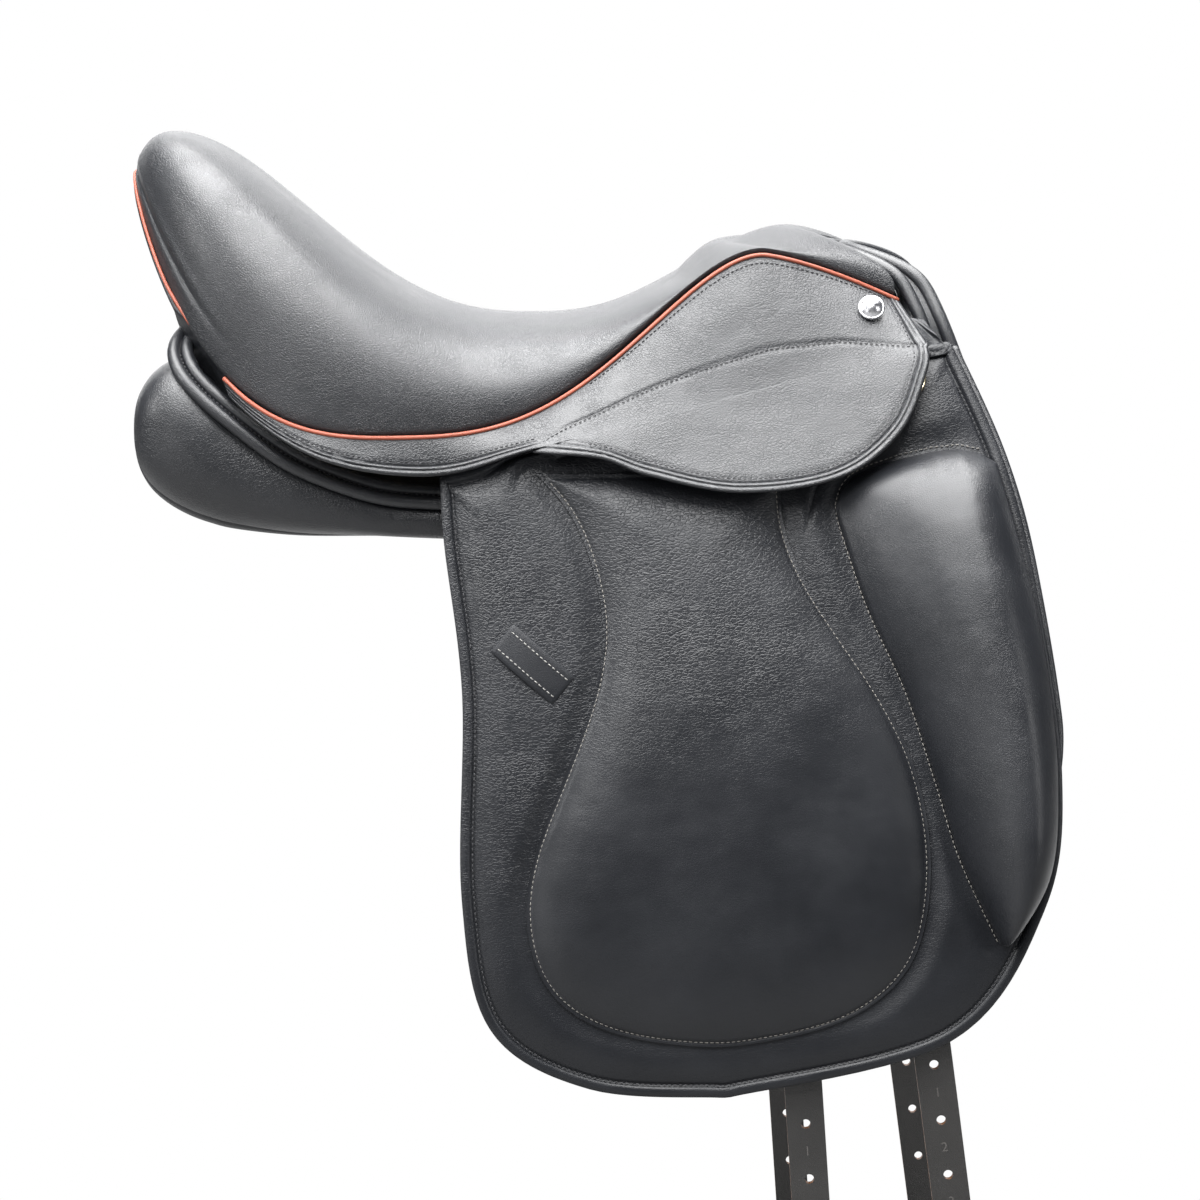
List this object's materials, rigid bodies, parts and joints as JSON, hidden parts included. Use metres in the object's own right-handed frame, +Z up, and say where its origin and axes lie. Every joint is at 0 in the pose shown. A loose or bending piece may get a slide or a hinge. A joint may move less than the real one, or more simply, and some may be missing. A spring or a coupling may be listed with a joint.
{
  "type": "dressage saddle",
  "caption": "Black leather dressage saddle with deep seat, straight flaps, knee blocks, stuffed panels, hinged stirrup bar catches and long girth straps.",
  "frame": {"origin": "middle of the saddle, below the lowest point of the seat, at the line where the panels bear", "axes": "+X forward to the pommel, +Y to the horse's left, +Z up"},
  "size_m": [0.5535, 0.4692, 0.7492],
  "materials": {
    "seat_leather": "fine grain, satin",
    "grain_leather": "pebbled grain, satin",
    "smooth_leather": "smooth, soft sheen",
    "lining_leather": "matt",
    "strap_leather": "smooth with raw edges",
    "piping": "smooth, soft sheen",
    "beech_laminate": "bare laminate",
    "web": "plain weave",
    "foam": "open foam",
    "wool": "carded",
    "steel": "brushed",
    "nickel": "polished nickel",
    "dee_brass": "pale, polished"
  },
  "bodies": {
    "saddle": {"tree": "beech_laminate", "gullet_plate": "steel", "strainer_webs": "web", "belly_web": "web", "seat_foam": "foam", "seat_cover": "seat_leather", "cantle_piping": "piping", "cantle_back": "smooth_leather", "pommel_facing": "smooth_leather", "front_rolls": "smooth_leather", "channel_lining": "lining_leather", "tree_point_left": "beech_laminate", "tree_point_right": "beech_laminate", "stirrup_bar_left": "steel", "stirrup_bar_right": "steel", "bar_rivets_left": "steel", "bar_rivets_right": "steel", "catch_pin_left": "steel", "catch_pin_right": "steel", "welt_left": "piping", "welt_right": "piping", "skirt_top_left": "grain_leather", "skirt_top_right": "grain_leather", "stud_left": "nickel", "stud_right": "nickel", "flap_head_left": "grain_leather", "flap_head_right": "grain_leather", "panel_leather_left": "smooth_leather", "panel_leather_right": "smooth_leather", "panel_lining_left": "lining_leather", "panel_lining_right": "lining_leather", "panel_wool_left": "wool", "panel_wool_right": "wool", "point_pocket_left": "lining_leather", "point_pocket_right": "lining_leather", "back_rolls_left": "smooth_leather", "back_rolls_right": "smooth_leather", "billet_webs_left": "web", "billet_webs_right": "web"},
    "flap_left": {"flap_left": "grain_leather", "knee_block_left": "smooth_leather", "thigh_pad_left": "grain_leather", "keeper_left": "smooth_leather", "dee_chape_left": "smooth_leather"},
    "skirt_left": {"skirt_lobe_left": "grain_leather"},
    "dee_left": {"dee_left": "dee_brass"},
    "front_billet_left": {"front_billet_left": "strap_leather"},
    "rear_billet_left": {"rear_billet_left": "strap_leather"},
    "bar_catch_left": {"bar_catch_left": "steel"},
    "flap_right": {"flap_right": "grain_leather", "knee_block_right": "smooth_leather", "thigh_pad_right": "grain_leather", "keeper_right": "smooth_leather", "dee_chape_right": "smooth_leather"},
    "skirt_right": {"skirt_lobe_right": "grain_leather"},
    "dee_right": {"dee_right": "dee_brass"},
    "front_billet_right": {"front_billet_right": "strap_leather"},
    "rear_billet_right": {"rear_billet_right": "strap_leather"},
    "bar_catch_right": {"bar_catch_right": "steel"}
  },
  "joints": [
    {"name": "flap_bend_left", "type": "hinge", "parent": "saddle", "child": "flap_left", "pos_m": [0.098, 0.1215, 0.0785], "axis": [0.9577, -0.1575, 0.241], "range_deg": [0, 70]},
    {"name": "skirt_bend_left", "type": "hinge", "parent": "flap_left", "child": "skirt_left", "pos_m": [0.098, 0.1215, 0.0785], "axis": [0.9577, -0.1575, 0.241], "range_deg": [0, 70]},
    {"name": "dee_swing_left", "type": "hinge", "parent": "flap_left", "child": "dee_left", "pos_m": [0.224, 0.09487, 0.10242], "axis": [1, 0, 0], "range_deg": [0, 10]},
    {"name": "front_billet_swing_left", "type": "hinge", "parent": "saddle", "child": "front_billet_left", "pos_m": [0.194, 0, 0.022], "axis": [0, -1, 0], "range_deg": [-4, 10]},
    {"name": "rear_billet_swing_left", "type": "hinge", "parent": "saddle", "child": "rear_billet_left", "pos_m": [0.138, 0, 0.022], "axis": [0, -1, 0], "range_deg": [-15, 3]},
    {"name": "catch_turn_left", "type": "hinge", "parent": "saddle", "child": "bar_catch_left", "pos_m": [0.108, 0.11883, 0.06308], "axis": [0, 0.9459, 0.3244], "range_deg": [0, 80]},
    {"name": "flap_bend_right", "type": "hinge", "parent": "saddle", "child": "flap_right", "pos_m": [0.098, -0.1215, 0.0785], "axis": [-0.9577, -0.1575, -0.241], "range_deg": [0, 70]},
    {"name": "skirt_bend_right", "type": "hinge", "parent": "flap_right", "child": "skirt_right", "pos_m": [0.098, -0.1215, 0.0785], "axis": [-0.9577, -0.1575, -0.241], "range_deg": [0, 70]},
    {"name": "dee_swing_right", "type": "hinge", "parent": "flap_right", "child": "dee_right", "pos_m": [0.224, -0.09487, 0.10242], "axis": [-1, 0, 0], "range_deg": [0, 10]},
    {"name": "front_billet_swing_right", "type": "hinge", "parent": "saddle", "child": "front_billet_right", "pos_m": [0.194, 0, 0.022], "axis": [0, -1, 0], "range_deg": [-4, 10]},
    {"name": "rear_billet_swing_right", "type": "hinge", "parent": "saddle", "child": "rear_billet_right", "pos_m": [0.138, 0, 0.022], "axis": [0, -1, 0], "range_deg": [-15, 3]},
    {"name": "catch_turn_right", "type": "hinge", "parent": "saddle", "child": "bar_catch_right", "pos_m": [0.108, -0.11883, 0.06308], "axis": [0, 0.9459, -0.3244], "range_deg": [0, 80]}
  ]
}
